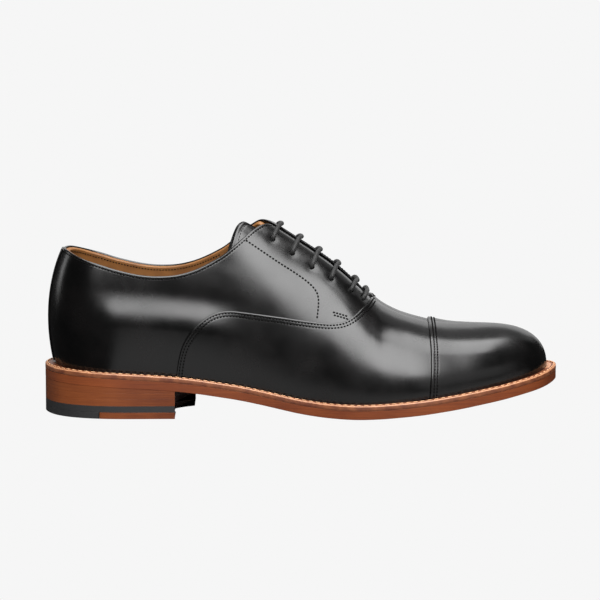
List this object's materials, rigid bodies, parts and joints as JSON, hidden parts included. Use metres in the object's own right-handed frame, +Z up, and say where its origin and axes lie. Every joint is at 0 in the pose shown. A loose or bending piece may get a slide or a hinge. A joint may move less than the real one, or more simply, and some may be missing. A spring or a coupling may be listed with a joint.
{
  "type": "leather oxford shoe",
  "caption": "Black leather cap-toe oxford shoe with closed lacing, a stitched welt, a leather sole and a stacked heel with a rubber top piece; the sole flexes at the ball and the tongue folds.",
  "frame": {"origin": "the middle of the outer box in plan, on the ground plane under the sole and heel", "axes": "+X to the toe, +Y to the inner side of the foot, +Z up"},
  "size_m": [0.2998, 0.1014, 0.1115],
  "materials": {
    "black_calf": "polished calf, smooth, with a broad soft sheen",
    "lining": "vegetable tanned lining leather, matt",
    "insole_leather": "undyed insole leather, matt",
    "stiffener": "pressed fibre board, matt",
    "lace_cord": "round waxed cotton cord",
    "aglet_plastic": "shrunk film lace tip",
    "welt_leather": "stained welt leather with pale stitches",
    "sole_leather": "stained and burnished sole leather",
    "black_rubber": "moulded heel rubber",
    "cork": "pressed cork granules",
    "shank_steel": "spring steel strip",
    "brass": "plain drawn brass"
  },
  "bodies": {
    "shoe": {"vamp": "black_calf", "quarter_lateral": "black_calf", "quarter_medial": "black_calf", "back_strip": "black_calf", "quarter_lining_lateral": "lining", "quarter_lining_medial": "lining", "vamp_lining": "lining", "heel_sock": "lining", "insole": "insole_leather", "heel_counter": "stiffener", "facing_stay_lateral": "stiffener", "facing_stay_medial": "stiffener", "lace": "lace_cord", "aglet_1": "aglet_plastic", "aglet_2": "aglet_plastic", "welt": "welt_leather", "outsole": "sole_leather", "heel_seat_wedge": "sole_leather", "heel_lift_upper": "sole_leather", "heel_lift_lower": "sole_leather", "top_piece_leather": "sole_leather", "top_piece_rubber": "black_rubber", "rubber_slip": "black_rubber", "cork_filler": "cork", "shank": "shank_steel", "eyelet_lateral_1": "brass", "eyelet_lateral_2": "brass", "eyelet_lateral_3": "brass", "eyelet_lateral_4": "brass", "eyelet_lateral_5": "brass", "eyelet_lateral_6": "brass", "eyelet_medial_1": "brass", "eyelet_medial_2": "brass", "eyelet_medial_3": "brass", "eyelet_medial_4": "brass", "eyelet_medial_5": "brass", "eyelet_medial_6": "brass", "heel_nail_1": "brass", "heel_nail_2": "brass", "heel_nail_3": "brass", "heel_nail_4": "brass", "heel_nail_5": "brass"},
    "forepart": {"toe_cap": "black_calf", "toe_puff": "stiffener"},
    "tongue_flap": {"tongue": "black_calf"}
  },
  "joints": [
    {"name": "ball_flex", "type": "hinge", "parent": "shoe", "child": "forepart", "pos_m": [0.0471, 0, 0.008], "axis": [0, -1, 0], "range_deg": [0, 20], "stiffness_Nm_per_rad": 9, "deforming": ["vamp", "vamp_lining", "welt", "insole", "cork_filler", "outsole"]},
    {"name": "tongue_fold", "type": "hinge", "parent": "shoe", "child": "tongue_flap", "pos_m": [0.0411, 0, 0.054], "axis": [0, -1, 0], "range_deg": [0, 10], "stiffness_Nm_per_rad": 0.05}
  ]
}
